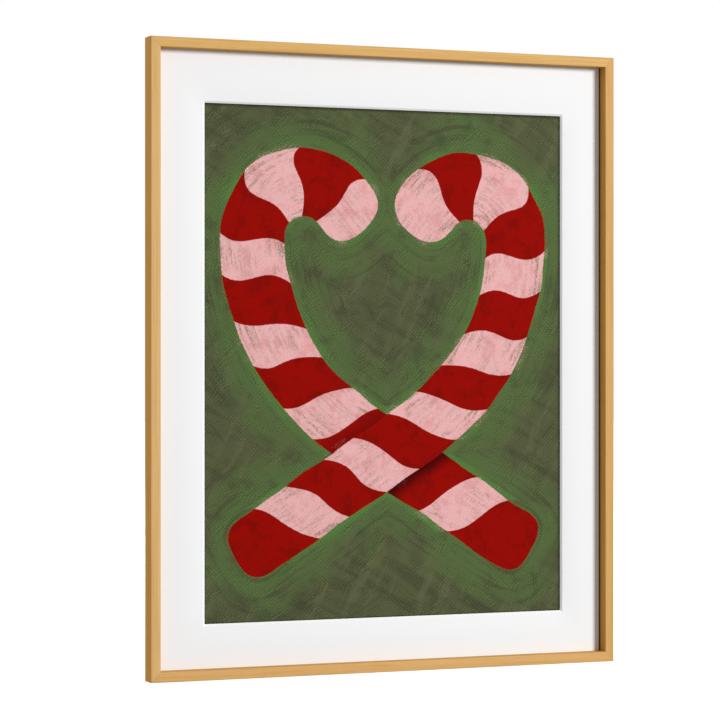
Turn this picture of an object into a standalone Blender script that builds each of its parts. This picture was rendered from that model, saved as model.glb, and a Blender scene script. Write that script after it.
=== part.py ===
"""A slim wooden picture frame with a bevel-cut mat, a print sheet, a backing board and a hanger.

Metres, +Z up. The frame stands on its bottom rail with the origin at the middle of its base.
The picture faces -Y and the wall side faces +Y. Every piece that touches another keeps GAP to it.
"""

import math

import bmesh
import bpy
from mathutils import Matrix, Vector

MM = 0.001

# The sheet size that the frame is made for, and the wooden section round it.
SHEET_WIDTH = 406 * MM
SHEET_HEIGHT = 508 * MM
SHEET_PLAY = 1.0 * MM
WALL = 5.0 * MM
LIP = 3.4 * MM
DEPTH = 17.6 * MM
LIP_DEPTH = 9.8 * MM
FRONT_ROUND = 0.7 * MM
BACK_ROUND = 2.2 * MM
ROUND_STEPS = 5
GAP = 0.3 * MM

WIDTH = SHEET_WIDTH + 2 * (SHEET_PLAY + WALL)
HEIGHT = SHEET_HEIGHT + 2 * (SHEET_PLAY + WALL)
RAIL_FACE = WALL + LIP
FRONT = -DEPTH / 2
MIDDLE = HEIGHT / 2

# The stack that lies in the rebate, front to back.
MAT_THICKNESS = 1.6 * MM
PRINT_THICKNESS = 0.5 * MM
BOARD_THICKNESS = 2.5 * MM
MAT_FRONT = FRONT + LIP_DEPTH + GAP
PRINT_FRONT = MAT_FRONT + MAT_THICKNESS + GAP
BOARD_FRONT = PRINT_FRONT + PRINT_THICKNESS + GAP
BOARD_BACK = BOARD_FRONT + BOARD_THICKNESS

# The mat's window: what it leaves of the print, and how far its middle lies from the frame's.
WINDOW_WIDTH = 322.5 * MM
WINDOW_HEIGHT = 424.5 * MM
WINDOW_RIGHT = 1.6 * MM
WINDOW_DOWN = 3.3 * MM

# The steel tabs that hold the board, driven into the rails.
TAB_LENGTH = 15 * MM
TAB_WIDTH = 7 * MM
TAB_THICKNESS = 0.5 * MM
TAB_BITE = 2.6 * MM
TABS_UP = 3
TABS_ACROSS = 2
TAB_SLOT_PLAY = 0.3 * MM

# The serrated hanger riveted to the board.
HANGER_LENGTH = 46 * MM
HANGER_WIDTH = 11 * MM
HANGER_THICKNESS = 0.8 * MM
HANGER_STEP = 0.9 * MM
HANGER_FOOT = 9 * MM
HANGER_TEETH = 9
TOOTH_DEPTH = 1.6 * MM
HANGER_DROP = 26 * MM
RIVET_RADIUS = 2.2 * MM
RIVET_HEAD = 0.6 * MM
RIVET_SIDES = 24
SMOOTH_UNDER = math.radians(35)

FINISHES = {
    "oak": ((0.640, 0.380, 0.130), 0.50, 0.0),
    "mat": ((0.880, 0.880, 0.880), 0.90, 0.0),
    "print": ((0.110, 0.150, 0.070), 0.75, 0.0),
    "board": ((0.330, 0.220, 0.130), 0.80, 0.0),
    "steel": ((0.560, 0.560, 0.570), 0.35, 1.0),
}


def clear_scene():
    for item in list(bpy.data.objects):
        bpy.data.objects.remove(item, do_unlink=True)


def new_collection(name):
    collection = bpy.data.collections.new(name)
    bpy.context.scene.collection.children.link(collection)
    return collection


def make_finishes():
    finishes = {}
    for name, (color, roughness, metallic) in FINISHES.items():
        material = bpy.data.materials.new(name)
        material.use_nodes = True
        shader = material.node_tree.nodes["Principled BSDF"]
        shader.inputs["Base Color"].default_value = (*color, 1.0)
        shader.inputs["Roughness"].default_value = roughness
        shader.inputs["Metallic"].default_value = metallic
        finishes[name] = material
    return finishes


def add_object(name, mesh, collection, finish=None):
    mesh.shade_smooth()
    mesh.set_sharp_from_angle(angle=SMOOTH_UNDER)
    item = bpy.data.objects.new(name, mesh)
    collection.objects.link(item)
    if finish:
        mesh.materials.append(finish)
    return item


def round_corner(corner, before, after, radius):
    """An arc of ROUND_STEPS chords in place of a square corner, between its two neighbours."""
    corner, before, after = Vector(corner), Vector(before), Vector(after)
    inward = (before - corner).normalized() * radius
    onward = (after - corner).normalized() * radius
    centre = corner + inward + onward
    turns = [math.pi / 2 * step / ROUND_STEPS for step in range(ROUND_STEPS + 1)]
    return [centre - onward * math.cos(turn) - inward * math.sin(turn) for turn in turns]


def rail_section():
    """The rail's outline as (inwards from the outer side, back from the front face)."""
    outer_front, inner_front = (0, 0), (RAIL_FACE, 0)
    lip_back, shelf = (RAIL_FACE, LIP_DEPTH), (WALL, LIP_DEPTH)
    inner_back, outer_back = (WALL, DEPTH), (0, DEPTH)
    return [
        *round_corner(outer_front, outer_back, inner_front, FRONT_ROUND),
        *round_corner(inner_front, outer_front, lip_back, FRONT_ROUND),
        Vector(lip_back),
        Vector(shelf),
        Vector(inner_back),
        *round_corner(outer_back, inner_back, outer_front, BACK_ROUND),
    ]


def flat_outline(name, points, thickness):
    """A closed outline in the XY plane, thick along Z, as a mesh centred on Z = 0."""
    outline = bpy.data.curves.new(name, "CURVE")
    outline.dimensions = "2D"
    outline.fill_mode = "BOTH"
    outline.extrude = thickness / 2
    spline = outline.splines.new("POLY")
    spline.points.add(len(points) - 1)
    for point, (x, y) in zip(spline.points, points):
        point.co = (x, y, 0, 1)
    spline.use_cyclic_u = True
    item = bpy.data.objects.new(name, outline)
    bpy.context.scene.collection.objects.link(item)
    graph = bpy.context.evaluated_depsgraph_get()
    mesh = bpy.data.meshes.new_from_object(item.evaluated_get(graph))
    bpy.data.objects.remove(item, do_unlink=True)
    shape = bmesh.new()
    shape.from_mesh(mesh)
    bmesh.ops.remove_doubles(shape, verts=shape.verts, dist=0.01 * MM)
    bmesh.ops.recalc_face_normals(shape, faces=shape.faces)
    shape.to_mesh(mesh)
    shape.free()
    return mesh


def cut_mitres(mesh, length):
    """Cuts both ends of a rail that runs along Z at 45 degrees, longest at its outer side."""
    shape = bmesh.new()
    shape.from_mesh(mesh)
    for end in (1, -1):
        cut = bmesh.ops.bisect_plane(
            shape,
            geom=[*shape.verts, *shape.edges, *shape.faces],
            plane_co=(0, 0, end * (length / 2 - GAP / math.sqrt(2))),
            plane_no=(1, 0, end),
            dist=0.001 * MM,
            clear_outer=True,
        )
        rim = [piece for piece in cut["geom_cut"] if isinstance(piece, bmesh.types.BMEdge)]
        bmesh.ops.edgeloop_fill(shape, edges=rim)
    bmesh.ops.recalc_face_normals(shape, faces=shape.faces)
    shape.to_mesh(mesh)
    shape.free()


def rail_matrix(side):
    """Turns a rail about the frame's middle: 0 is the left rail, then bottom, right and top."""
    across = WIDTH if side % 2 == 0 else HEIGHT
    upright = Matrix.Rotation(math.pi / 2 * side, 4, "Y").inverted()
    return Matrix.Translation((0, 0, MIDDLE)) @ upright @ Matrix.Translation((-across / 2, FRONT, 0))


def make_rail(name, side, collection, finish):
    length = HEIGHT if side % 2 == 0 else WIDTH
    mesh = flat_outline(name, rail_section(), length)
    cut_mitres(mesh, length)
    rail = add_object(name, mesh, collection, finish)
    rail.matrix_world = rail_matrix(side)
    return rail


def box_mesh(name, size):
    """A box centred on its origin."""
    shape = bmesh.new()
    bmesh.ops.create_cube(shape, size=1.0, matrix=Matrix.Diagonal((*size, 1.0)))
    mesh = bpy.data.meshes.new(name)
    shape.to_mesh(mesh)
    shape.free()
    return mesh


def make_sheet(name, front, thickness, collection, finish):
    """One of the flat sheets of full size that lie in the rebate."""
    mesh = box_mesh(name, (SHEET_WIDTH, thickness, SHEET_HEIGHT))
    sheet = add_object(name, mesh, collection, finish)
    sheet.location = (0, front + thickness / 2, MIDDLE)
    return sheet


def subtract(item, cutter):
    cutter.hide_render = True
    cutter.display_type = "WIRE"
    modifier = item.modifiers.new(f"cut_{cutter.name}", "BOOLEAN")
    modifier.operation = "DIFFERENCE"
    modifier.solver = "EXACT"
    modifier.object = cutter


def cut_window(mat, cutters):
    """Cuts the mat's window at 45 degrees, so that it is smallest at the print."""
    reach = MAT_THICKNESS
    run = MAT_THICKNESS + 2 * reach
    mesh = box_mesh("window", (WINDOW_WIDTH, run, WINDOW_HEIGHT))
    for vertex in mesh.vertices:
        widen = reach + MAT_THICKNESS if vertex.co.y < 0 else -reach
        vertex.co.x += math.copysign(widen, vertex.co.x)
        vertex.co.z += math.copysign(widen, vertex.co.z)
    cutter = add_object("window", mesh, cutters)
    cutter.location = (WINDOW_RIGHT, MAT_FRONT + MAT_THICKNESS / 2, MIDDLE - WINDOW_DOWN)
    subtract(mat, cutter)


def tab_places():
    """Each tab as (rail's side number, its distance along that rail from the rail's middle)."""
    places = []
    for side in range(4):
        upright = side % 2 == 0
        count = TABS_UP if upright else TABS_ACROSS
        length = HEIGHT if upright else WIDTH
        step = length / (count + 0.4)
        places += [(side, (index - (count - 1) / 2) * step) for index in range(count)]
    return places


def make_tab(name, side, along, rail, collection, cutters, finish):
    """A thin steel tab on the board's back, let into a slot in the rail."""
    rebate_wall = WALL - TAB_BITE
    centre = Vector((rebate_wall + TAB_LENGTH / 2, BOARD_BACK + GAP + TAB_THICKNESS / 2 - FRONT, along))
    tab = add_object(name, box_mesh(name, (TAB_LENGTH, TAB_THICKNESS, TAB_WIDTH)), collection, finish)
    tab.matrix_world = rail_matrix(side) @ Matrix.Translation(centre)
    play = 2 * TAB_SLOT_PLAY
    slot = box_mesh(f"slot_{name}", (TAB_LENGTH + play, TAB_THICKNESS + play, TAB_WIDTH + play))
    cutter = add_object(f"slot_{name}", slot, cutters)
    cutter.matrix_world = tab.matrix_world
    subtract(rail, cutter)
    return tab


def hanger_outline():
    """The hanger's strip from below: a straight top edge and a row of teeth along the bottom."""
    half, edge = HANGER_LENGTH / 2, HANGER_WIDTH / 2
    toothed = HANGER_LENGTH - 2 * HANGER_FOOT
    pitch = toothed / HANGER_TEETH
    outline = [(half, edge), (-half, edge), (-half, -edge), (-toothed / 2, -edge)]
    for tooth in range(HANGER_TEETH):
        start = -toothed / 2 + tooth * pitch
        outline += [(start + pitch / 2, -edge + TOOTH_DEPTH), (start + pitch, -edge)]
    return [*outline, (half, -edge)]


def make_hanger(name, collection, cutters, finish):
    """The strip lies on the board at both feet and stands off it by HANGER_STEP between them."""
    blank = HANGER_THICKNESS + HANGER_STEP
    hanger = add_object(name, flat_outline(name, hanger_outline(), blank), collection, finish)
    place = Vector((0, BOARD_BACK + GAP + blank / 2, HEIGHT - HANGER_DROP))
    turn = Matrix.Rotation(math.pi / 2, 4, "X")
    hanger.matrix_world = Matrix.Translation(place) @ turn
    bridge = HANGER_LENGTH - 2 * HANGER_FOOT
    under = add_object("bridge", box_mesh("bridge", (bridge, HANGER_STEP * 2, HANGER_WIDTH * 2)), cutters)
    under.location = place - Vector((0, blank / 2, 0))
    subtract(hanger, under)
    for end, label in ((-1, "left"), (1, "right")):
        foot_size = (HANGER_FOOT * 2 - HANGER_THICKNESS * 2, HANGER_STEP * 2, HANGER_WIDTH * 2)
        over = add_object(f"foot_{label}", box_mesh(f"foot_{label}", foot_size), cutters)
        over.location = place + Vector((end * HANGER_LENGTH / 2, blank / 2, 0))
        subtract(hanger, over)
    return hanger


def make_rivet(name, end, collection, finish):
    """A rivet head on one of the hanger's feet."""
    shape = bmesh.new()
    bmesh.ops.create_cone(
        shape,
        cap_ends=True,
        segments=RIVET_SIDES,
        radius1=RIVET_RADIUS,
        radius2=RIVET_RADIUS * 0.7,
        depth=RIVET_HEAD,
    )
    mesh = bpy.data.meshes.new(name)
    shape.to_mesh(mesh)
    shape.free()
    rivet = add_object(name, mesh, collection, finish)
    inset = HANGER_FOOT - HANGER_THICKNESS
    seat = BOARD_BACK + GAP + HANGER_THICKNESS + GAP
    rivet.location = (
        end * (HANGER_LENGTH - inset) / 2,
        seat + RIVET_HEAD / 2,
        HEIGHT - HANGER_DROP,
    )
    rivet.rotation_euler = (-math.pi / 2, 0, 0)
    return rivet


def main():
    clear_scene()
    parts = new_collection("framed_print")
    cutters = new_collection("cutters")
    finishes = make_finishes()

    names = ("rail_left", "rail_bottom", "rail_right", "rail_top")
    rails = [make_rail(name, side, parts, finishes["oak"]) for side, name in enumerate(names)]

    mat = make_sheet("mat_board", MAT_FRONT, MAT_THICKNESS, parts, finishes["mat"])
    cut_window(mat, cutters)
    make_sheet("print_sheet", PRINT_FRONT, PRINT_THICKNESS, parts, finishes["print"])
    make_sheet("backing_board", BOARD_FRONT, BOARD_THICKNESS, parts, finishes["board"])

    for number, (side, along) in enumerate(tab_places(), 1):
        make_tab(f"tab_{number}", side, along, rails[side], parts, cutters, finishes["steel"])

    make_hanger("hanger", parts, cutters, finishes["steel"])
    make_rivet("rivet_left", -1, parts, finishes["steel"])
    make_rivet("rivet_right", 1, parts, finishes["steel"])


main()
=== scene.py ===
"""Looks of a slim framed print: mitred oak mouldings, a bevel-cut mat, a painted print and its back.

Metres, +Z up, the picture faces -Y. Every new piece is a surface worked out with numpy on a grid of two
parameters, put into the mesh as whole arrays; the backing board keeps its solid. Each is dressed with a
procedural finish.
"""

from __future__ import annotations

import logging
import math
from dataclasses import dataclass, field
from enum import Enum

import bpy
import numpy as np
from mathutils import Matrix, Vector


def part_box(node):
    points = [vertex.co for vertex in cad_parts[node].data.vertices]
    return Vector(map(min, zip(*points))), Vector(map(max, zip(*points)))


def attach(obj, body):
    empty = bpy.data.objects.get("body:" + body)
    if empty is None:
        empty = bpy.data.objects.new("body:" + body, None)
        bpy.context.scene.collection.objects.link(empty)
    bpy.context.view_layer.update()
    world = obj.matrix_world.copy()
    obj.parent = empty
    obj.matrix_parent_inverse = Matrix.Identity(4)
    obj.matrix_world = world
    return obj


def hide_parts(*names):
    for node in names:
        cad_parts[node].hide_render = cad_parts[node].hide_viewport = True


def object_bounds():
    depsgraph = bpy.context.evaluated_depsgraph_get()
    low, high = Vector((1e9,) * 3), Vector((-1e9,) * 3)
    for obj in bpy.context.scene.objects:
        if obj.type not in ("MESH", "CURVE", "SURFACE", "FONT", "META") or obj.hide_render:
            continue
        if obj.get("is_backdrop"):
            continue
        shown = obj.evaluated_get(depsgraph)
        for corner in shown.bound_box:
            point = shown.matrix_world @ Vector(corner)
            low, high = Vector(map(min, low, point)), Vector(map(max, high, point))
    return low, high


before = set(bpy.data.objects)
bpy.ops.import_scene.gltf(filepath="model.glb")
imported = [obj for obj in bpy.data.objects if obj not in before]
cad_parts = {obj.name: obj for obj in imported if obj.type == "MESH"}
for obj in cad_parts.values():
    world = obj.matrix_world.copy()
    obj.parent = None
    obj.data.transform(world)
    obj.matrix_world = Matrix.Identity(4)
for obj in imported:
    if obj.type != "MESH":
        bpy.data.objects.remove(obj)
CAD_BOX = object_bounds()

LOG = logging.getLogger("framed_print")
MM = 0.001
PER_MM = 1000.0
SMOOTH_UNDER = math.radians(32)

Color = tuple[float, float, float]


class Side(Enum):
    """A side of the frame, with the quarter turns that take the left rail there."""

    LEFT = 0
    BOTTOM = 1
    RIGHT = 2
    TOP = 3

    @property
    def upright(self) -> bool:
        """Whether the rail on this side stands."""
        return self in (Side.LEFT, Side.RIGHT)


# ---- Meshes ----


def grid_faces(rows: int, columns: int, wrap_columns: bool = False) -> np.ndarray:
    """Quads of a grid whose point (row, column) has the index row * columns + column.

    Args:
        rows: points down the grid.
        columns: points along each row.
        wrap_columns: whether the last column joins the first.

    Returns:
        An array of quads, four point indices each.
    """
    last = columns if wrap_columns else columns - 1
    row, column = np.meshgrid(np.arange(rows - 1), np.arange(last), indexing="ij")
    nxt = (column + 1) % columns
    above, below = row * columns, (row + 1) * columns
    corners = (above + column, above + nxt, below + nxt, below + column)
    return np.stack([corner.ravel() for corner in corners], axis=1)


@dataclass
class Surface:
    """Points, quads and end caps of a piece, and the values that its finish reads at each point."""

    points: np.ndarray
    quads: np.ndarray
    caps: list[list[int]] = field(default_factory=list)
    values: dict[str, np.ndarray] = field(default_factory=dict)

    def build(self, name: str, finish: bpy.types.Material, smooth: bool = True) -> bpy.types.Object:
        """Makes the object, at the origin, with its place in its mesh.

        Args:
            name: the piece's name.
            finish: its material.
            smooth: whether flat stretches meet in soft edges under SMOOTH_UNDER.

        Returns:
            The new object, linked to the scene.
        """
        mesh = bpy.data.meshes.new(name)
        faces = [*self.quads.tolist(), *self.caps]
        mesh.from_pydata(self.points.tolist(), [], faces)
        mesh.validate()
        for key, value in self.values.items():
            kind = "FLOAT_VECTOR" if value.ndim == 2 else "FLOAT"
            layer = mesh.attributes.new(key, kind, "POINT")
            layer.data.foreach_set("vector" if value.ndim == 2 else "value", value.astype(np.float32).ravel())
        if smooth:
            mesh.shade_smooth()
            mesh.set_sharp_from_angle(angle=SMOOTH_UNDER)
        mesh.materials.append(finish)
        piece = bpy.data.objects.new(name, mesh)
        bpy.context.scene.collection.objects.link(piece)
        return piece


def place(piece: bpy.types.Object, slot: str, *stands_for: str) -> bpy.types.Object:
    """Rides a piece on the frame's one body, logs its slot and hides the solids it stands for."""
    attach(piece, "root")
    if stands_for:
        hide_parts(*stands_for)
    LOG.info("%s: %d points, slot %s", piece.name, len(piece.data.vertices), slot)
    return piece


def arc(centre: tuple[float, float], radius: float, start: float, end: float, steps: int) -> np.ndarray:
    """Points on a circle: centre + radius * (cos, sin) of angles from start to end, in degrees."""
    angle = np.radians(np.linspace(start, end, steps + 1))
    return np.stack([centre[0] + radius * np.cos(angle), centre[1] + radius * np.sin(angle)], axis=1)


# ---- Shader graphs ----


class Graph:
    """A material's node tree, with one short method for each kind of node that a finish needs."""

    def __init__(self, name: str) -> None:
        """Starts a material with an empty tree and a Principled shader at its output."""
        self.material = bpy.data.materials.new(name)
        self.material.use_nodes = True
        self.tree = self.material.node_tree
        self.shader = self.tree.nodes["Principled BSDF"]
        self._coords: bpy.types.NodeSocket | None = None

    def put(self, socket: bpy.types.NodeSocket, value: object) -> None:
        """Links a socket to an output, or sets it to a number or a tuple."""
        if isinstance(value, bpy.types.NodeSocket):
            self.tree.links.new(value, socket)
        elif socket.type == "RGBA":
            socket.default_value = (*value, 1.0)
        elif value is not None:
            socket.default_value = value

    def node(self, kind: str, settings: dict[str, object], values: dict[object, object]) -> bpy.types.Node:
        """Adds a node, sets its options and then its sockets, by name or by place."""
        made = self.tree.nodes.new(kind)
        for key, value in settings.items():
            setattr(made, key, value)
        for key, value in values.items():
            self.put(made.inputs[key], value)
        return made

    def coords(self) -> bpy.types.NodeSocket:
        """The place in the frame's own axes, in metres."""
        if self._coords is None:
            self._coords = self.tree.nodes.new("ShaderNodeTexCoord").outputs["Object"]
        return self._coords

    def value(self, name: str, vector: bool = False) -> bpy.types.NodeSocket:
        """A value that the mesh holds at each point."""
        made = self.node("ShaderNodeAttribute", {"attribute_name": name}, {})
        return made.outputs["Vector" if vector else "Fac"]

    def calc(self, operation: str, *values: object, clamp: bool = False) -> bpy.types.NodeSocket:
        """One step of arithmetic, such as MULTIPLY or SMOOTH_MIN."""
        settings = {"operation": operation, "use_clamp": clamp}
        return self.node("ShaderNodeMath", settings, dict(enumerate(values))).outputs[0]

    def times(self, first: object, second: object) -> bpy.types.NodeSocket:
        """The product of two values."""
        return self.calc("MULTIPLY", first, second)

    def parts(self, vector: object) -> list[bpy.types.NodeSocket]:
        """The three numbers of a vector."""
        return list(self.node("ShaderNodeSeparateXYZ", {}, {0: vector}).outputs)

    def join(self, x: object, y: object, z: object) -> bpy.types.NodeSocket:
        """A vector from three numbers."""
        return self.node("ShaderNodeCombineXYZ", {}, {0: x, 1: y, 2: z}).outputs[0]

    def stretch(self, vector: object, factors: tuple[float, float, float]) -> bpy.types.NodeSocket:
        """The vector with each number times its factor."""
        values = {0: vector, 1: factors}
        return self.node("ShaderNodeVectorMath", {"operation": "MULTIPLY"}, values).outputs[0]

    def noise(
        self, at: object, scale: float, detail: float = 2.0, rough: float = 0.5
    ) -> bpy.types.NodeSocket:
        """Smooth noise about 0.5, with `scale` cells to the unit of `at`."""
        values = {"Vector": at, "Scale": scale, "Detail": detail, "Roughness": rough}
        return self.node("ShaderNodeTexNoise", {}, values).outputs["Fac"]

    def fade(self, value: object, start: float, end: float) -> bpy.types.NodeSocket:
        """0 at start and 1 at end, in a soft step; start may lie above end."""
        values = {"Value": value, "From Min": start, "From Max": end, "To Min": 0.0, "To Max": 1.0}
        if start > end:
            values = {**values, "From Min": end, "From Max": start, "To Min": 1.0, "To Max": 0.0}
        return self.node("ShaderNodeMapRange", {"interpolation_type": "SMOOTHSTEP"}, values).outputs[0]

    def span(self, value: object, low: float, high: float) -> bpy.types.NodeSocket:
        """Takes a value from 0 to 1 on to low to high."""
        values = {"Value": value, "From Min": 0.0, "From Max": 1.0, "To Min": low, "To Max": high}
        return self.node("ShaderNodeMapRange", {}, values).outputs[0]

    def partly(self, value: object, start: float, end: float, most: float) -> bpy.types.NodeSocket:
        """0 at start and `most` at end, in a soft step."""
        return self.span(self.fade(value, start, end), 0.0, most)

    def mix(self, factor: object, first: object, second: object, blend: str = "MIX") -> bpy.types.NodeSocket:
        """One colour over another."""
        made = self.node("ShaderNodeMix", {"data_type": "RGBA", "blend_type": blend}, {})
        for key, value in ((0, factor), (6, first), (7, second)):
            self.put(made.inputs[key], value)
        return made.outputs[2]

    def bump(self, height: object, distance: float, strength: float = 1.0) -> bpy.types.NodeSocket:
        """A normal from a height between 0 and 1 that stands `distance` metres proud."""
        values = {"Height": height, "Distance": distance, "Strength": strength}
        return self.node("ShaderNodeBump", {}, values).outputs["Normal"]

    def finish(self, **sockets: object) -> bpy.types.Material:
        """Sets the shader's sockets, with underscores for spaces, and returns the material."""
        for key, value in sockets.items():
            self.put(self.shader.inputs[key.replace("_", " ")], value)
        return self.material


# ---- Finishes ----


# Painted shade: a tint for each rail's front face, by the side it is on, that evens out how the lamps' light
# and sheen fall on the four fronts.
FRONT_SHADES: dict[Side, Color] = {
    Side.LEFT: (1.00, 1.00, 1.00),
    Side.BOTTOM: (0.98, 0.92, 0.82),
    Side.RIGHT: (0.92, 0.86, 0.72),
    Side.TOP: (0.98, 0.95, 0.80),
}


@dataclass(frozen=True)
class OakFinish:
    """Honey-coloured oak with fine straight grain along the rail, with painted shade: the sides a deeper tone
    than the front, darker towards the back, and dark in the crease against the mat.
    """

    light: Color = (0.735, 0.465, 0.195)
    honey: Color = (0.700, 0.420, 0.155)
    line: Color = (0.520, 0.275, 0.085)
    # Painted shade: the deeper tone of the sides and back, and their darkening towards the back.
    deep: Color = (0.885, 0.710, 0.300)
    shaded: Color = (0.430, 0.400, 0.150)
    # Painted contact shade for the crease against the mat.
    crease_shade: Color = (0.060, 0.028, 0.010)
    front: float = -8.8 * MM
    roughness: float = 0.55
    specular: float = 0.10

    def make(self, side: Side) -> bpy.types.Material:
        """The wood, with its grain up or across.

        Each noise is read at coordinates that are long along the rail and short across it, so that
        its cells are drawn out into fibres.

        Args:
            side: the side that the rail is on, which also shifts the figure.

        Returns:
            The material.
        """
        graph = Graph(f"oak_{side.name.lower()}")
        x, y, z = graph.parts(graph.coords())
        along, across = (z, x) if side.upright else (x, z)
        shifted = graph.calc("ADD", along, 0.37 * side.value)
        wander = graph.noise(graph.join(0.0, 0.0, shifted), 9.0, 1.0)
        across = graph.calc("MULTIPLY_ADD", wander, 0.0022, across)
        grain = graph.join(across, y, shifted)
        bands = graph.noise(graph.stretch(grain, (1.0, 1.0, 0.016)), 330.0, 2.0, 0.55)
        fibres = graph.noise(graph.stretch(grain, (1.0, 1.0, 0.010)), 1500.0, 2.0, 0.6)
        pores = graph.noise(graph.stretch(grain, (1.0, 1.0, 0.035)), 2600.0, 1.0, 0.5)
        clouds = graph.noise(graph.stretch(grain, (1.0, 1.0, 0.25)), 60.0, 2.0)
        color = graph.mix(graph.fade(bands, 0.34, 0.66), self.honey, self.light)
        color = graph.mix(graph.partly(clouds, 0.35, 0.7, 0.45), color, self.light)
        color = graph.mix(graph.partly(fibres, 0.52, 0.32, 0.46), color, self.line)
        color = graph.mix(graph.partly(pores, 0.36, 0.26, 0.45), color, self.line)
        # Painted shade: the sides and back take a deeper tone than the front face and darken further back, as
        # shaded sides beside a lit front.
        behind = graph.fade(y, self.front + 0.05 * MM, self.front + 0.6 * MM)
        tone = graph.mix(behind, FRONT_SHADES[side], self.deep)
        tone = graph.mix(graph.partly(y, 2.5 * MM, 8.0 * MM, 0.4), tone, self.shaded)
        color = graph.mix(1.0, color, tone, "MULTIPLY")
        # Painted contact shade along the foot of the inner wall, in the crease against the mat.
        color = graph.mix(graph.span(graph.value("crease"), 0.0, 0.45), color, self.crease_shade)
        height = graph.calc("MULTIPLY_ADD", graph.fade(pores, 0.26, 0.36), 0.5, fibres)
        rough = graph.span(fibres, self.roughness - 0.06, self.roughness + 0.08)
        normal = graph.bump(height, 0.06 * MM, 0.5)
        return graph.finish(
            Base_Color=color, Roughness=rough, Normal=normal, Specular_IOR_Level=self.specular
        )


@dataclass(frozen=True)
class MatFinish:
    """Smooth white mat board with a slightly whiter cut core."""

    face: Color = (0.900, 0.904, 0.912)
    shade: Color = (0.876, 0.880, 0.886)
    core: Color = (0.985, 0.985, 0.980)
    # Painted contact shade at the feet of the upright rails.
    foot: Color = (0.030, 0.016, 0.008)
    half_width: float = 200.6 * MM
    roughness: float = 0.88
    specular: float = 0.2

    def make(self) -> bpy.types.Material:
        """The board, which reads the mesh's value `core` for its cut edge.

        It carries painted contact shade within two millimetres of each upright rail, darkest where it goes
        under the wood.
        """
        graph = Graph("mat_white")
        fine = graph.noise(graph.coords(), 2400.0, 2.0, 0.6)
        cloud = graph.noise(graph.coords(), 38.0, 2.0)
        color = graph.mix(graph.span(fine, 0.0, 0.5), self.face, self.shade)
        color = graph.mix(graph.span(cloud, 0.0, 0.2), color, self.shade)
        color = graph.mix(graph.value("core"), color, self.core)
        # Painted contact shade on the board beside each upright rail.
        x = graph.calc("ABSOLUTE", graph.parts(graph.coords())[0])
        under = graph.fade(x, self.half_width - 1.8 * MM, self.half_width - 0.3 * MM)
        color = graph.mix(under, color, self.foot)
        normal = graph.bump(fine, 0.03 * MM, 0.35)
        return graph.finish(
            Base_Color=color, Roughness=self.roughness, Normal=normal, Specular_IOR_Level=self.specular
        )


@dataclass(frozen=True)
class FibreboardFinish:
    """Brown fibreboard: short pressed fibres over a mottled ground."""

    ground: Color = (0.345, 0.215, 0.120)
    dark: Color = (0.235, 0.140, 0.075)
    pale: Color = (0.455, 0.310, 0.190)
    roughness: float = 0.82
    specular: float = 0.2

    def make(self) -> bpy.types.Material:
        """The board: clouds, fleck noise drawn out both ways, and fine grit."""
        graph = Graph("fibreboard_brown")
        at = graph.coords()
        mottle = graph.noise(at, 55.0, 3.0)
        level = graph.noise(graph.stretch(at, (0.22, 1.0, 1.0)), 1500.0, 2.0, 0.6)
        plumb = graph.noise(graph.stretch(at, (1.0, 1.0, 0.22)), 1500.0, 2.0, 0.6)
        color = graph.mix(graph.partly(mottle, 0.3, 0.7, 0.35), self.ground, self.dark)
        color = graph.mix(graph.partly(level, 0.56, 0.70, 0.8), color, self.pale)
        color = graph.mix(graph.partly(plumb, 0.58, 0.70, 0.8), color, self.dark)
        height = graph.calc("ADD", level, plumb)
        normal = graph.bump(height, 0.08 * MM, 0.5)
        return graph.finish(
            Base_Color=color, Roughness=self.roughness, Normal=normal, Specular_IOR_Level=self.specular
        )


@dataclass(frozen=True)
class SteelFinish:
    """Zinc-plated pressed steel with faint rolling marks."""

    bright: Color = (0.620, 0.625, 0.630)
    dull: Color = (0.470, 0.475, 0.485)
    roughness: float = 0.34

    def make(self) -> bpy.types.Material:
        """The metal: streaks along X and a soft spangle."""
        graph = Graph("steel_zinc")
        streaks = graph.noise(graph.stretch(graph.coords(), (0.05, 1.0, 1.0)), 4200.0, 2.0, 0.6)
        spangle = graph.noise(graph.coords(), 420.0, 2.0)
        color = graph.mix(graph.fade(streaks, 0.35, 0.65), self.dull, self.bright)
        color = graph.mix(graph.span(spangle, 0.0, 0.4), color, self.bright)
        rough = graph.span(spangle, self.roughness - 0.08, self.roughness + 0.12)
        normal = graph.bump(streaks, 0.02 * MM, 0.4)
        return graph.finish(Base_Color=color, Metallic=1.0, Roughness=rough, Normal=normal)


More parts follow.
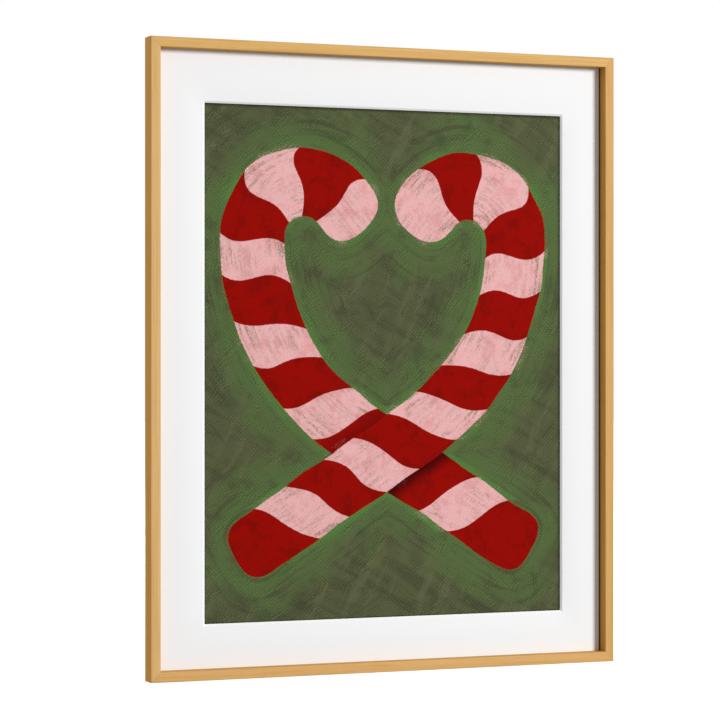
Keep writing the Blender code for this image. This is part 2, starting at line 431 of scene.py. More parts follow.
@dataclass(frozen=True)
class PaintFinish:
    """Dry-brushed paint on a canvas weave: an olive ground and two striped canes.

    The mesh holds for each cane a vector at each point, in millimetres: the distance along the
    cane, the distance left of its middle line, and the distance outside its outline.
    """

    half: float
    window: tuple[float, float, float, float]
    olive: Color = (0.0900, 0.1010, 0.0460)
    umber: Color = (0.0520, 0.0580, 0.0300)
    moss: Color = (0.0900, 0.1420, 0.0470)
    leaf: Color = (0.0850, 0.2050, 0.0480)
    straw: Color = (0.1350, 0.1440, 0.0700)
    red: Color = (0.298, 0.0022, 0.0004)
    oxblood: Color = (0.185, 0.0022, 0.0006)
    pink: Color = (0.812, 0.456, 0.450)
    rose: Color = (0.690, 0.285, 0.282)
    ash: Color = (0.330, 0.215, 0.160)
    valley: Color = (0.60, 0.60, 0.60)
    crest: Color = (1.40, 1.37, 1.30)
    pitch: float = 72.0
    lean_hook: float = -0.20
    lean_foot: float = 0.36
    curl: float = 9.0
    first: float = 2.0
    last: float = 500.0
    thread: float = 1.7
    roughness: float = 0.7
    specular: float = 0.03

    def weave(self, graph: Graph, place_mm: object) -> bpy.types.NodeSocket:
        """Plain weave: (|sin u| + |sin v| + sin u * sin v + 1) / 4, u and v in threads."""
        x, _, z = graph.parts(place_mm)
        wobble = graph.noise(place_mm, 0.05, 1.0)
        turns = math.pi / self.thread
        warp = graph.calc("SINE", graph.times(graph.calc("MULTIPLY_ADD", wobble, 11.0, x), turns))
        weft = graph.calc("SINE", graph.times(graph.calc("MULTIPLY_ADD", wobble, -11.0, z), turns))
        ridges = graph.calc("ADD", graph.calc("ABSOLUTE", warp), graph.calc("ABSOLUTE", weft))
        total = graph.calc("ADD", ridges, graph.times(warp, weft))
        return graph.calc("MULTIPLY_ADD", total, 0.25, 0.25, clamp=True)

    def slanted(self, graph: Graph, place_mm: object, degrees: float) -> bpy.types.NodeSocket:
        """The place turned about the picture's normal, so that strokes run aslant."""
        values = {"Vector": place_mm, "Axis": (0.0, 1.0, 0.0), "Angle": math.radians(degrees)}
        return graph.node("ShaderNodeVectorRotate", {"rotation_type": "AXIS_ANGLE"}, values).outputs[0]

    def ground(self, graph: Graph, place_mm: object, near: object, cane: object) -> bpy.types.NodeSocket:
        """The ground: olive with dark scumbles, moss in patches near the canes, leaf at their edges.

        Strokes are noise drawn out: aslant in the open, and along the canes close to them.
        """
        along, _, outside = graph.parts(cane)
        follow = graph.join(graph.times(outside, 0.15), 0.0, graph.times(along, 0.018))
        round_canes = graph.noise(follow, 1.0, 3.0, 0.65)
        rising = graph.stretch(self.slanted(graph, place_mm, 62.0), (0.110, 1.0, 0.018))
        falling = graph.stretch(self.slanted(graph, place_mm, -28.0), (0.095, 1.0, 0.020))
        steep = graph.noise(rising, 1.0, 3.0, 0.6)
        low = graph.noise(falling, 1.0, 3.0, 0.6)
        clouds = graph.noise(place_mm, 0.020, 3.0, 0.6)
        smudges = graph.noise(place_mm, 0.048, 4.0, 0.65)
        color = graph.mix(graph.partly(steep, 0.44, 0.66, 0.50), self.olive, self.umber)
        color = graph.mix(graph.partly(low, 0.48, 0.68, 0.45), color, self.straw)
        reach = graph.calc("MULTIPLY_ADD", clouds, 90.0, graph.calc("MULTIPLY_ADD", round_canes, 40.0, near))
        color = graph.mix(graph.partly(reach, 106.0, 70.0, 0.88), color, self.moss)
        color = graph.mix(graph.partly(round_canes, 0.52, 0.66, 0.45), color, self.umber)
        color = graph.mix(graph.partly(smudges, 0.52, 0.70, 0.46), color, self.umber)
        rim = graph.calc("MULTIPLY_ADD", round_canes, 22.0, near)
        patch = graph.fade(graph.noise(place_mm, 0.016, 1.0), 0.42, 0.56)
        rim = graph.times(graph.fade(rim, 19.0, 9.0), graph.span(patch, 0.15, 0.85))
        return graph.mix(rim, color, self.leaf)

    def stripes(self, graph: Graph, place_mm: object, cane: object, seed: float) -> bpy.types.NodeSocket:
        """A cane's own paint: red and pink stripes that lean more towards its foot.

        A stripe is where along + lean * across + curl * (across / half)^3, with a slow wobble, is
        in the second half of the pitch. The cube bends its ends as a helix bends on a round stick.
        Held between first and last, the hook's tip stays pink and the foot's tip red.
        """
        along, across, _ = graph.parts(cane)
        side = graph.calc("DIVIDE", across, self.half)
        wobble = graph.noise(place_mm, 0.013, 1.0)
        fray = graph.noise(place_mm, 0.45, 2.0, 0.6)
        lean = graph.span(graph.fade(along, 40.0, 300.0), self.lean_hook, self.lean_foot)
        shift = graph.calc("MULTIPLY_ADD", across, lean, along)
        shift = graph.calc("MULTIPLY_ADD", graph.calc("POWER", side, 3.0), self.curl, shift)
        shift = graph.calc("MULTIPLY_ADD", wobble, 22.0, shift)
        shift = graph.calc("MULTIPLY_ADD", fray, 0.9, shift)
        turned = graph.calc("MAXIMUM", graph.calc("ADD", shift, seed), self.first)
        turned = graph.calc("MINIMUM", turned, self.last)
        phase = graph.calc("FRACT", graph.calc("DIVIDE", turned, self.pitch))
        edge = 0.3 / self.pitch
        rise = graph.fade(phase, 0.47 - edge, 0.47 + edge)
        is_red = graph.times(rise, graph.fade(phase, 1.0, 1.0 - 2 * edge))
        drawn = graph.join(graph.times(along, 0.030), seed, graph.times(across, 0.30))
        streaks = graph.noise(drawn, 1.0, 4.0, 0.7)
        dabs = graph.noise(place_mm, 0.075, 4.0, 0.7)
        grit = graph.noise(place_mm, 0.80, 3.0, 0.75)
        pink = graph.mix(graph.partly(dabs, 0.46, 0.64, 0.55), self.pink, self.rose)
        pink = graph.mix(graph.partly(grit, 0.46, 0.66, 0.35), pink, self.rose)
        edgewise = graph.span(graph.fade(graph.calc("ABSOLUTE", side), 0.25, 0.85), 0.40, 1.0)
        dusk = graph.times(graph.fade(streaks, 0.45, 0.58), graph.fade(grit, 0.36, 0.56))
        dusk = graph.times(dusk, graph.fade(graph.noise(place_mm, 0.030, 2.0), 0.40, 0.54))
        dusk = graph.times(dusk, edgewise)
        pink = graph.mix(dusk, pink, self.ash)
        red = graph.mix(graph.partly(dabs, 0.48, 0.64, 0.65), self.red, self.oxblood)
        red = graph.mix(graph.times(dusk, 0.6), red, self.oxblood)
        return graph.mix(is_red, pink, red)

    def mat_shadow(self, graph: Graph, place_mm: object, color: object) -> bpy.types.NodeSocket:
        """Paints the mat's shadow on the print where it goes under the mat, most at the top and right."""
        x, _, z = graph.parts(place_mm)
        left, right, bottom, top = self.window
        for gap, reach, depth in (
            (graph.calc("SUBTRACT", top, z), 3.4, 0.85),
            (graph.calc("SUBTRACT", right, x), 3.2, 0.80),
            (graph.calc("SUBTRACT", x, left), 1.4, 0.45),
            (graph.calc("SUBTRACT", z, bottom), 2.0, 0.60),
        ):
            closeness = graph.calc("SUBTRACT", 1.0, graph.calc("DIVIDE", gap, reach), clamp=True)
            dark = graph.calc("POWER", closeness, 1.5)
            color = graph.mix(graph.times(dark, depth), color, (0.0, 0.0, 0.0))
        return color

    def make(self) -> bpy.types.Material:
        """The painting: ground, rear cane with the front one's shadow on it, front cane, weave."""
        graph = Graph("paint_on_canvas")
        place_mm = graph.stretch(graph.coords(), (PER_MM, PER_MM, PER_MM))
        front, rear = graph.value("front_cane", True), graph.value("rear_cane", True)
        weave = self.weave(graph, place_mm)
        fray = graph.noise(place_mm, 0.7, 3.0, 0.7)
        drift = graph.noise(place_mm, 0.018, 1.0)
        front_out, rear_out = graph.parts(front)[2], graph.parts(rear)[2]
        near = graph.calc("SMOOTH_MIN", front_out, rear_out, 12.0)
        color = self.ground(graph, place_mm, near, graph.value("near_cane", True))
        ragged = graph.calc("ADD", graph.span(fray, -0.9, 0.9), graph.span(drift, -4.0, 4.0))
        patchy = graph.fade(graph.noise(place_mm, 0.045, 2.0), 0.50, 0.62)
        specks = graph.fade(graph.noise(place_mm, 0.95, 2.0, 0.75), 0.52, 0.62)
        height = graph.times(weave, 0.6)
        for cane, outside, seed in ((rear, rear_out, 17.0), (front, front_out, 9.0)):
            paint = self.stripes(graph, place_mm, cane, seed)
            if cane is rear:
                across = graph.parts(front)[1]
                below = graph.span(graph.fade(across, -8.0, 8.0), 0.40, 1.0)
                near_front = graph.fade(graph.calc("ADD", front_out, ragged), 15.0, 0.0)
                shade = graph.times(near_front, below)
                paint = graph.mix(graph.times(shade, 0.78), paint, (0.0, 0.0, 0.0))
            border = graph.calc("ADD", outside, ragged)
            fringe = graph.times(graph.fade(border, 6.0, 0.5), graph.times(patchy, specks))
            color = graph.mix(graph.times(fringe, 0.75), color, paint)
            cover = graph.fade(border, 0.30, -0.30)
            color = graph.mix(cover, color, paint)
            height = graph.calc("MULTIPLY_ADD", cover, 0.25, height)
        painted = graph.calc("MINIMUM", front_out, rear_out)
        thin = graph.fade(graph.noise(place_mm, 0.050, 3.0, 0.65), 0.40, 0.60)
        unpainted = graph.span(graph.fade(painted, -1.0, 1.0), 0.22, 1.0)
        bare = graph.times(graph.span(thin, 0.35, 1.0), unpainted)
        speckle = graph.noise(place_mm, 0.62, 2.0, 0.8)
        relief = graph.calc("MULTIPLY_ADD", graph.calc("SUBTRACT", speckle, 0.5), 1.1, weave)
        valley = graph.times(graph.fade(relief, 0.60, 0.20), bare)
        color = graph.mix(valley, color, graph.mix(1.0, color, self.valley, "MULTIPLY"))
        crest = graph.times(graph.fade(relief, 0.60, 1.00), bare)
        color = graph.mix(crest, color, graph.mix(1.0, color, self.crest, "MULTIPLY"))
        # Painted shadow of the mat along the window's edges.
        color = self.mat_shadow(graph, place_mm, color)
        normal = graph.bump(height, 0.22 * MM, 0.6)
        return graph.finish(
            Base_Color=color, Roughness=self.roughness, Normal=normal, Specular_IOR_Level=self.specular
        )


# ---- The frame's mouldings ----


@dataclass
class Moulding:
    """One rail: an L-shaped section carried along its side and mitred at both ends."""

    side: Side
    oak: OakFinish
    wall: float = 5.0 * MM
    lip_depth: float = 9.8 * MM
    front_round: float = 0.7 * MM
    back_round: float = 2.2 * MM
    round_steps: int = 7
    crease: float = 0.9 * MM
    mitre_gap: float = 0.09 * MM
    stations: int = 48

    @property
    def node(self) -> str:
        """The solid that this rail stands for."""
        return f"rail_{self.side.name.lower()}"

    def section(self, face: float, depth: float) -> np.ndarray:
        """The outline as (inwards from the outer side, back from the front face), rounded by arcs."""
        front, back, steps = self.front_round, self.back_round, self.round_steps
        return np.concatenate(
            [
                arc((front, front), front, 180, 270, steps),
                arc((face - front, front), front, 270, 360, steps),
                [(face, self.lip_depth - self.crease), (face, self.lip_depth)],
                [(self.wall, self.lip_depth), (self.wall, depth)],
                arc((back, depth - back), back, 90, 180, steps),
            ]
        )

    def surface(self) -> Surface:
        """Carries the section along the rail; each point's reach is half the side less its own
        distance inwards, which makes both mitres 45 degrees."""
        low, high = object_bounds()
        box_low, box_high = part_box(self.node)
        width, height = high.x - low.x, high.z - low.z
        upright = self.side.upright
        face = (box_high.x - box_low.x) if upright else (box_high.z - box_low.z)
        across, length = (width, height) if upright else (height, width)
        section = self.section(face, high.y - low.y)
        inward, back = section[:, 0], section[:, 1]
        reach = length / 2 - inward - self.mitre_gap / math.sqrt(2)
        stations = np.linspace(-1.0, 1.0, self.stations)[:, None]
        along = stations * reach
        out = np.broadcast_to(inward - across / 2, along.shape)
        deep = np.broadcast_to(low.y + back, along.shape)
        turn = -math.pi / 2 * self.side.value
        x = out * math.cos(turn) + along * math.sin(turn)
        z = -out * math.sin(turn) + along * math.cos(turn) + (low.z + high.z) / 2
        points = np.stack([x, deep, z], axis=-1).reshape(-1, 3)
        count = len(section)
        # Points at the foot of the inner wall, which carry the painted contact shade in the crease against
        # the mat.
        dark = np.tile(np.isclose(back, self.lip_depth).astype(float), self.stations)
        quads = grid_faces(self.stations, count, wrap_columns=True)
        first = list(range(count))
        last = list(range((self.stations - 1) * count, self.stations * count))
        return Surface(points, quads[:, ::-1], [first, last[::-1]], {"crease": dark})

    def build(self) -> bpy.types.Object:
        """Makes the rail in its oak."""
        piece = self.surface().build(f"oak_{self.node}", self.oak.make(self.side))
        return place(piece, "oak", self.node)


# ---- The mat ----


@dataclass
class MatBoard:
    """A board with a window whose sides are cut back at 45 degrees."""

    finish: MatFinish
    window_width: float = 322.5 * MM
    window_height: float = 424.5 * MM
    window_right: float = 1.6 * MM
    window_down: float = 3.3 * MM
    side_steps: int = 24
    edge_round: float = 0.12 * MM

    def ring(self, width: float, height: float, middle: tuple[float, float]) -> np.ndarray:
        """Points round a rectangle, anticlockwise from its lower left, side_steps to a side."""
        step = np.linspace(0.0, 1.0, self.side_steps, endpoint=False)
        ones = np.ones_like(step)
        x = np.concatenate([step, ones, 1 - step, 0 * ones]) - 0.5
        z = np.concatenate([0 * ones, step, ones, 1 - step]) - 0.5
        return np.stack([middle[0] + x * width, middle[1] + z * height], axis=1)

    def surface(self) -> Surface:
        """Rings from the back's outer edge round the front to the window and back.

        Each ring is a rectangle at its own depth; the bevel widens the window by as much as it
        comes forward.
        """
        low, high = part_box("mat_board")
        outer = (high.x - low.x, high.z - low.z)
        thick = high.y - low.y
        middle = ((low.x + high.x) / 2, (low.z + high.z) / 2)
        window_middle = (middle[0] + self.window_right, middle[1] - self.window_down)
        soft = self.edge_round
        outer_ring = self.ring(*outer, middle)

        def window_ring(forward: float) -> np.ndarray:
            """The window's outline where the bevel stands `forward` of the board's back."""
            grown = (self.window_width + 2 * forward, self.window_height + 2 * forward)
            return self.ring(*grown, window_middle)

        lip = window_ring(thick)
        wide = window_ring(thick + soft)
        rings = [
            (outer_ring, high.y, 0.0),
            (outer_ring, low.y, 0.0),
            (outer_ring * 0.5 + wide * 0.5, low.y, 0.0),
            (wide, low.y, 0.0),
            (lip, low.y + soft * 0.3, 0.0),
            (window_ring(thick - soft), low.y + soft, 1.0),
            (window_ring(soft), high.y - soft, 1.0),
            (window_ring(0.0), high.y, 1.0),
        ]
        count = 4 * self.side_steps
        flat = [np.insert(ring, 1, depth, axis=1) for ring, depth, _ in rings]
        core = np.concatenate([np.full(count, value) for _, _, value in rings])
        closing = grid_faces(2, count, wrap_columns=True)
        last = (len(rings) - 1) * count
        back = np.where(closing < count, closing + last, closing - count)
        quads = np.concatenate([grid_faces(len(rings), count, wrap_columns=True), back])
        return Surface(np.concatenate(flat), quads, values={"core": core})

    def build(self) -> bpy.types.Object:
        """Makes the board in its white face and core."""
        return place(self.surface().build("mat_bevelled", self.finish.make()), "mat", "mat_board")


# ---- The painting ----


def end_gap(over: np.ndarray, left: np.ndarray, power: float = 2.9) -> np.ndarray:
    """Distance to the end of a middle line, squared off: (over^p + |left|^p)^(1/p), over from 0."""
    return (np.clip(over, 0.0, None) ** power + np.abs(left) ** power) ** (1 / power)


@dataclass(frozen=True)
class Bend:
    """A stretch of a cane's middle line that turns clockwise: centre, radius and two angles, in mm
    and degrees."""

    centre: tuple[float, float]
    radius: float
    start: float
    end: float

    @property
    def length(self) -> float:
        """The stretch's own length."""
        return math.radians(self.start - self.end) * self.radius

    def nearest(self, x: np.ndarray, z: np.ndarray) -> np.ndarray:
        """Distance to the stretch, length along it and distance left of it, for whole arrays.

        Inside the bend the turn travelled is start - atan2(z, x) and left is outwards. Past either
        end both are measured on the straight line that the bend would go on along.
        """
        dx, dz = x - self.centre[0], z - self.centre[1]
        sweep = math.radians(self.start - self.end)
        turned = math.radians(self.start) - np.arctan2(dz, dx)
        turned = (turned - sweep / 2 + math.pi) % (2 * math.pi) - math.pi + sweep / 2
        held = np.clip(turned, 0.0, sweep)
        angle = math.radians(self.start) - held
        past = turned != held
        onward = dx * np.sin(angle) - dz * np.cos(angle)
        outward = dx * np.cos(angle) + dz * np.sin(angle) - self.radius
        over = np.where(past, np.abs(onward), 0.0)
        left = np.where(past, outward, np.hypot(dx, dz) - self.radius)
        along = held * self.radius + np.where(past, onward, 0.0)
        return np.stack([end_gap(over, left), along, left])


@dataclass(frozen=True)
class Run:
    """A straight stretch of a cane's middle line, in mm."""

    start: tuple[float, float]
    heading: float
    length: float

    def nearest(self, x: np.ndarray, z: np.ndarray) -> np.ndarray:
        """Distance to the stretch, length along it and distance left of it, for whole arrays."""
        ahead = (math.cos(math.radians(self.heading)), math.sin(math.radians(self.heading)))
        dx, dz = x - self.start[0], z - self.start[1]
        along = dx * ahead[0] + dz * ahead[1]
        left = dz * ahead[0] - dx * ahead[1]
        over = np.abs(along - np.clip(along, 0.0, self.length))
        return np.stack([end_gap(over, left), along, left])


@dataclass
class Cane:
    """A striped cane: a round hook, a long side bend and a straight foot. Mirrored for its pair."""

    half: float = 28.5
    taper: float = 2.0
    hook_centre: tuple[float, float] = (74.0, 105.0)
    hook_radius: float = 45.0
    hook_turn: float = 141.0
    side_radius: float = 190.0
    side_turn: float = 57.5
    foot: float = 168.0

    def stretches(self) -> list[Bend | Run]:
        """Hook, side and foot, each starting where the last one ends."""
        hook = Bend(self.hook_centre, self.hook_radius, self.hook_turn, 0.0)
        side_centre = (self.hook_centre[0] + self.hook_radius - self.side_radius, self.hook_centre[1])
        side = Bend(side_centre, self.side_radius, 0.0, -self.side_turn)
        angle = math.radians(-self.side_turn)
        start = (
            side_centre[0] + self.side_radius * math.cos(angle),
            side_centre[1] + self.side_radius * math.sin(angle),
        )
        return [hook, side, Run(start, -90.0 - self.side_turn, self.foot)]

    def measure(self, x: np.ndarray, z: np.ndarray, mirrored: bool) -> np.ndarray:
        """For each point the length along the cane, the distance left of it, and the distance
        outside its outline, from whichever stretch is nearest.

        Args:
            x: places across the picture from its middle, in mm.
            z: places up the picture from its middle, in mm.
            mirrored: whether this is the cane that leans the other way.

        Returns:
            An array of three numbers a point.
        """
        x = -x if mirrored else x
        found, done = [], 0.0
        for stretch in self.stretches():
            one = stretch.nearest(x, z)
            one[1] += done
            found.append(one)
            done += stretch.length
        stacked = np.stack(found)
        nearest = np.argmin(stacked[:, 0], axis=0)
        gap, along, left = np.take_along_axis(stacked, nearest[None, None, :], axis=0)[0]
        half = self.half - self.taper * np.clip(along / done, 0.0, 1.0)
        return np.stack([along, left, gap - half], axis=1)


@dataclass
class Painting:
    """The print: a thin sheet whose front holds, point by point, where each cane runs."""

    cane: Cane
    mat: MatBoard
    cell: float = 2.4 * MM
    hidden: float = 6.0 * MM

    def window(self) -> tuple[float, float, float, float]:
        """Left, right, bottom and top of the mat's window, in mm."""
        low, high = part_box("print_sheet")
        x = (low.x + high.x) / 2 + self.mat.window_right
        z = (low.z + high.z) / 2 - self.mat.window_down
        wide, tall = self.mat.window_width / 2, self.mat.window_height / 2
        return tuple(edge * PER_MM for edge in (x - wide, x + wide, z - tall, z + tall))

    def lines(self, low: float, high: float, window: float, middle: float) -> np.ndarray:
        """Places of grid lines: even ones over the window, and the sheet's two edges."""
        reach = window / 2 + self.hidden
        count = int(round(2 * reach / self.cell))
        return np.concatenate([[low], np.linspace(middle - reach, middle + reach, count + 1), [high]])

    def surface(self) -> Surface:
        """A front grid and a back grid at the sheet's two depths, joined round their borders."""
        low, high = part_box("print_sheet")
        middle_x = (low.x + high.x) / 2 + self.mat.window_right
        middle_z = (low.z + high.z) / 2 - self.mat.window_down
        xs = self.lines(low.x, high.x, self.mat.window_width, middle_x)
        zs = self.lines(low.z, high.z, self.mat.window_height, middle_z)
        z, x = (part.ravel() for part in np.meshgrid(zs, xs, indexing="ij"))
        front = np.stack([x, np.full_like(x, low.y), z], axis=1)
        back = np.stack([x, np.full_like(x, high.y), z], axis=1)
        rows, columns = len(zs), len(xs)
        quads = grid_faces(rows, columns)
        index = np.arange(rows * columns).reshape(rows, columns)
        border = np.concatenate([index[0, :-1], index[:-1, -1], index[-1, :0:-1], index[:0:-1, 0]])
        after = np.roll(border, -1)
        count = rows * columns
        rim = np.stack([border, border + count, after + count, after], axis=1)
        across, up = (x - middle_x) * PER_MM, (z - middle_z) * PER_MM
        values = {}
        for name, mirrored in (("front_cane", False), ("rear_cane", True)):
            measured = self.cane.measure(across, up, mirrored)
            values[name] = np.concatenate([measured, measured])
        nearer = values["front_cane"][:, 2:] < values["rear_cane"][:, 2:]
        values["near_cane"] = np.where(nearer, values["front_cane"], values["rear_cane"])
        points = np.concatenate([front, back])
        return Surface(points, np.concatenate([quads, quads[:, ::-1] + count, rim]), values=values)

    def build(self) -> bpy.types.Object:
        """Makes the sheet in its paint."""
        finish = PaintFinish(half=self.cane.half, window=self.window()).make()
        return place(self.surface().build("painted_sheet", finish), "print", "print_sheet")


# ---- The back ----


@dataclass
class Back:
    """The fibreboard and what holds it: pressed steel tabs, a serrated hanger and its rivets."""

    board: FibreboardFinish
    steel: SteelFinish
    tabs: int = 10
    tab_lift: float = 0.7 * MM
    tab_steps: tuple[int, int] = (25, 13)
    rib_height: float = 0.25 * MM
    teeth: int = 9
    foot: float = 9.0 * MM
    tooth_depth: float = 1.6 * MM
    sheet_steel: float = 0.8 * MM
    hanger_rows: int = 9
    rivet_steps: tuple[int, int] = (12, 40)

    def solidify(self, piece: bpy.types.Object, thickness: float, bevel: float) -> None:
        """Gives a sheet its thickness backwards from its outer face, with softened edges."""
        wall = piece.modifiers.new("wall", "SOLIDIFY")
        wall.thickness = thickness
        wall.offset = -1.0
        soft = piece.modifiers.new("soft_edges", "BEVEL")
        soft.width = bevel
        soft.segments = 2
        soft.limit_method = "ANGLE"

    def tab(self, name: str, metal: bpy.types.Material) -> bpy.types.Object:
        """A tab: a strip with a round tip that lifts off the board, and a pressed rib.

        Across the strip a point lies at half-width * v, where the half-width narrows to the tip as
        sqrt(1 - t^2); its height is lift * u^3 plus the rib's (1 - v^2)^4.
        """
        low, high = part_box(name)
        size = high - low
        lengthwise_x = size.x > size.z
        length, width = (size.x, size.z) if lengthwise_x else (size.z, size.x)
        centre = (low + high) / 2
        middle = (CAD_BOX[0].z + CAD_BOX[1].z) / 2
        toward = -1.0 if (centre.x if lengthwise_x else centre.z - middle) > 0 else 1.0
        rows, columns = self.tab_steps
        u, v = np.meshgrid(np.linspace(0, 1, rows), np.linspace(-1, 1, columns), indexing="ij")
        tip = width / 2 / length
        narrowing = np.clip((u - (1 - tip)) / tip, 0.0, 0.985)
        half = width / 2 * np.sqrt(1 - narrowing**2)
        rise = self.tab_lift * u**3 + self.rib_height * (1 - v**2) ** 4 * np.clip(4 * u * (1 - u), 0, 1)
        run = toward * (u - 0.5) * length
        side = half * v
        depth = high.y + rise
        across = (centre.x + run, centre.z + side) if lengthwise_x else (centre.x + side, centre.z + run)
        points = np.stack([across[0], depth, across[1]], axis=-1).reshape(-1, 3)
        quads = grid_faces(rows, columns)
        if (toward > 0) != lengthwise_x:
            quads = quads[:, ::-1]
        piece = Surface(points, quads).build(f"pressed_{name}", metal)
        self.solidify(piece, size.y, 0.1 * MM)
        return place(piece, "steel", name)

    def hanger(self, metal: bpy.types.Material) -> bpy.types.Object:
        """The hanger: a strip that steps off the board between its feet, toothed along its bottom.

        Its depth follows a soft step, 0 on each foot and the step's height between; its lower edge
        is a triangle wave between the feet.
        """
        low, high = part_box("hanger")
        centre = (low + high) / 2
        half_length, half_width = (high.x - low.x) / 2, (high.z - low.z) / 2
        toothed = half_length - self.foot
        pitch = 2 * toothed / self.teeth
        inner = np.linspace(-toothed, toothed, 2 * self.teeth * 4 + 1)
        outer = np.linspace(toothed, half_length, 12)[1:]
        run = np.concatenate([-outer[::-1], inner, outer])
        wave = 1 - np.abs(((run + toothed) / pitch) % 1.0 * 2 - 1)
        bottom = -half_width + np.where(np.abs(run) < toothed, wave * self.tooth_depth, 0.0)
        step = np.clip((toothed + self.sheet_steel - np.abs(run)) / self.sheet_steel, 0.0, 1.0)
        step = step * step * (3 - 2 * step)
        stand_off = (high.y - low.y) - self.sheet_steel
        rows = self.hanger_rows
        level = np.linspace(0.0, 1.0, rows)[:, None]
        x = np.broadcast_to(centre.x + run, (rows, len(run)))
        z = centre.z + bottom + (half_width - bottom) * level
        y = np.broadcast_to(low.y + self.sheet_steel + stand_off * step, x.shape)
        points = np.stack([x, y, z], axis=-1).reshape(-1, 3)
        quads = grid_faces(rows, len(run))[:, ::-1]
        piece = Surface(points, quads).build("serrated_hanger", metal)
        self.solidify(piece, self.sheet_steel, 0.12 * MM)
        return place(piece, "steel", "hanger")

    def rivet(self, name: str, metal: bpy.types.Material) -> bpy.types.Object:
        """A domed rivet head: radius * sin t out and height * cos t back, closed at its top."""
        low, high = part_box(name)
        centre = (low + high) / 2
        radius, height = (high.x - low.x) / 2, high.y - low.y
        rings, around = self.rivet_steps
        turns = np.linspace(0, 2 * math.pi, around, endpoint=False)
        turn, lift = np.meshgrid(turns, np.linspace(90, 4, rings), indexing="xy")
        out = radius * np.sin(np.radians(lift))
        x = centre.x + out * np.cos(turn)
        z = centre.z + out * np.sin(turn)
        y = low.y + height * np.cos(np.radians(lift))
        points = np.stack([x, y, z], axis=-1).reshape(-1, 3)
        seat, top = list(range(around)), list(range((rings - 1) * around, rings * around))
        quads = grid_faces(rings, around, wrap_columns=True)[:, ::-1]
        piece = Surface(points, quads, [seat, top[::-1]]).build(f"dome_{name}", metal)
        return place(piece, "steel", name)

    def build(self) -> None:
        """Dresses the board, which keeps its solid, and makes the fittings."""
        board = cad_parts["backing_board"]
        board.data.materials.clear()
        board.data.materials.append(self.board.make())
        metal = self.steel.make()
        for number in range(1, self.tabs + 1):
            self.tab(f"tab_{number}", metal)
        self.hanger(metal)
        for name in ("rivet_left", "rivet_right"):
            self.rivet(name, metal)


# ---- The studio ----


@dataclass(frozen=True)
class SoftLight:
    """A square white lamp that looks at the picture's middle."""

    name: str
    azimuth: float
    elevation: float
    distance: float
    size: float
    power: float

    def build(self, target: Vector) -> None:
        """Puts the lamp up: azimuth 0 is in front of the picture and 90 at its right."""
        lamp = bpy.data.lights.new(self.name, "AREA")
        lamp.size = self.size
        lamp.energy = self.power
        holder = bpy.data.objects.new(self.name, lamp)
        turn, rise = math.radians(self.azimuth), math.radians(self.elevation)
        away = Vector((math.sin(turn) * math.cos(rise), -math.cos(turn) * math.cos(rise), math.sin(rise)))
        holder.location = target + away * self.distance
        holder.rotation_mode = "QUATERNION"
        holder.rotation_quaternion = (-away).to_track_quat("-Z", "Y")
        holder.visible_camera = False
        bpy.context.scene.collection.objects.link(holder)


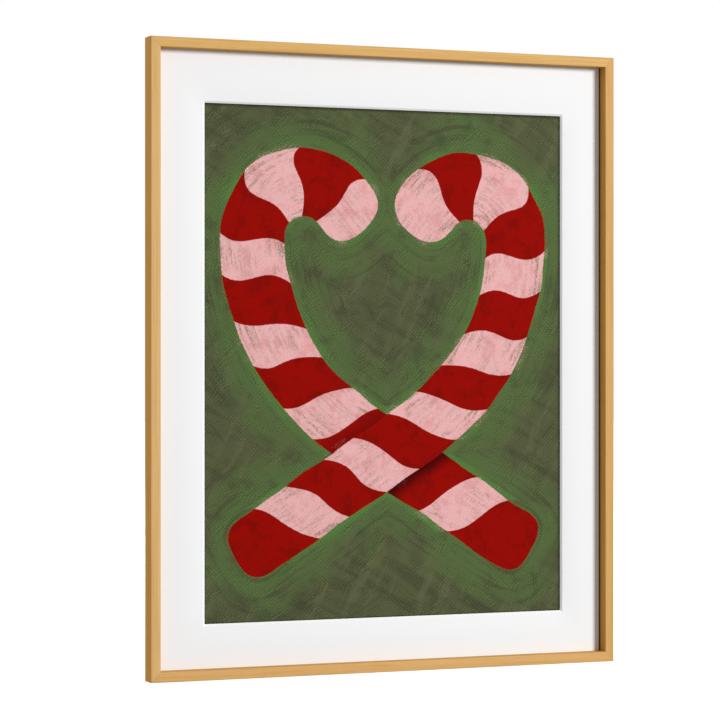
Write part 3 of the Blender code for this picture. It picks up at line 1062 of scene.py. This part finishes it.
@dataclass
class Studio:
    """A pale floor, soft white light and the camera."""

    lens: float = 133.36
    camera_left: float = 0.8662
    camera_front: float = 2.0446
    camera_turn: float = 22.3
    camera_drop: float = 0.0005
    sky: float = 0.30
    floor_radius: float = 9.0
    floor_sun: float = 3.4
    lights: tuple[SoftLight, ...] = (
        SoftLight("key", 33.5, 15.0, 5.0, 1.3, 221.0),
        SoftLight("rim", -112.0, 10.0, 4.0, 1.8, 54.0),
        SoftLight("back", 180.0, 35.0, 3.0, 1.6, 45.0),
    )

    def floor(self) -> None:
        """A round floor under the frame, out to where it meets the white background."""
        turn = np.linspace(0, 2 * math.pi, 96, endpoint=False)
        rim = self.floor_radius * np.stack([np.cos(turn), np.sin(turn), 0 * turn], axis=1)
        graph = Graph("studio_floor")
        shade = graph.noise(graph.coords(), 3.0, 1.0)
        color = graph.mix(graph.span(shade, 0.0, 0.2), (0.90, 0.90, 0.90), (0.88, 0.88, 0.88))
        finish = graph.finish(Base_Color=color, Roughness=0.9, Specular_IOR_Level=0.1)
        no_quads = np.zeros((0, 4), dtype=int)
        piece = Surface(rim, no_quads, [list(range(len(turn)))]).build("studio_floor", finish, smooth=False)
        piece.visible_diffuse = piece.visible_glossy = False
        piece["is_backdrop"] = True
        sun = bpy.data.lights.new("floor_sun", "SUN")
        sun.energy, sun.angle = self.floor_sun, math.radians(12)
        holder = bpy.data.objects.new("floor_sun", sun)
        holder.location = (0.0, 0.0, 3.0)
        bpy.context.scene.collection.objects.link(holder)
        lit = bpy.data.collections.new("lit_by_floor_sun")
        lit.objects.link(piece)
        holder.light_linking.receiver_collection = lit

    def world(self) -> None:
        """White behind everything, and an even, dimmer white for the light it gives."""
        world = bpy.data.worlds.new("white_studio")
        world.use_nodes = True
        bpy.context.scene.world = world
        tree = world.node_tree
        background = tree.nodes["Background"]
        background.inputs["Color"].default_value = (1.0, 1.0, 1.0, 1.0)
        seen = tree.nodes.new("ShaderNodeLightPath").outputs["Is Camera Ray"]
        strength = tree.nodes.new("ShaderNodeMapRange")
        tree.links.new(seen, strength.inputs["Value"])
        strength.inputs["To Min"].default_value = self.sky
        strength.inputs["To Max"].default_value = 1.0
        tree.links.new(strength.outputs[0], background.inputs["Strength"])

    def camera(self, front: float, middle: float) -> None:
        """A long lens at the picture's mid height, to its left, looking level."""
        lens = bpy.data.cameras.new("camera")
        lens.lens = self.lens
        lens.clip_start, lens.clip_end = 0.05, 60.0
        holder = bpy.data.objects.new("camera", lens)
        holder.location = (-self.camera_left, front - self.camera_front, middle - self.camera_drop)
        holder.rotation_euler = (math.pi / 2, 0.0, -math.radians(self.camera_turn))
        bpy.context.scene.collection.objects.link(holder)
        bpy.context.scene.camera = holder

    def build(self) -> None:
        """Sets up floor, light, camera and a plain view transform."""
        low, high = CAD_BOX
        target = (low + high) / 2
        self.floor()
        self.world()
        for light in self.lights:
            light.build(target)
        self.camera(low.y, target.z)
        bpy.context.scene.view_settings.view_transform = "Standard"


def main() -> None:
    """Builds the frame, the mat, the painting, the back and the studio, in that order."""
    logging.basicConfig(level=logging.INFO, format="%(name)s %(message)s")
    oak = OakFinish()
    for side in Side:
        Moulding(side, oak).build()
    mat = MatBoard(MatFinish())
    mat.build()
    Painting(Cane(), mat).build()
    Back(FibreboardFinish(), SteelFinish()).build()
    Studio().build()


if __name__ == "__main__":
    main()
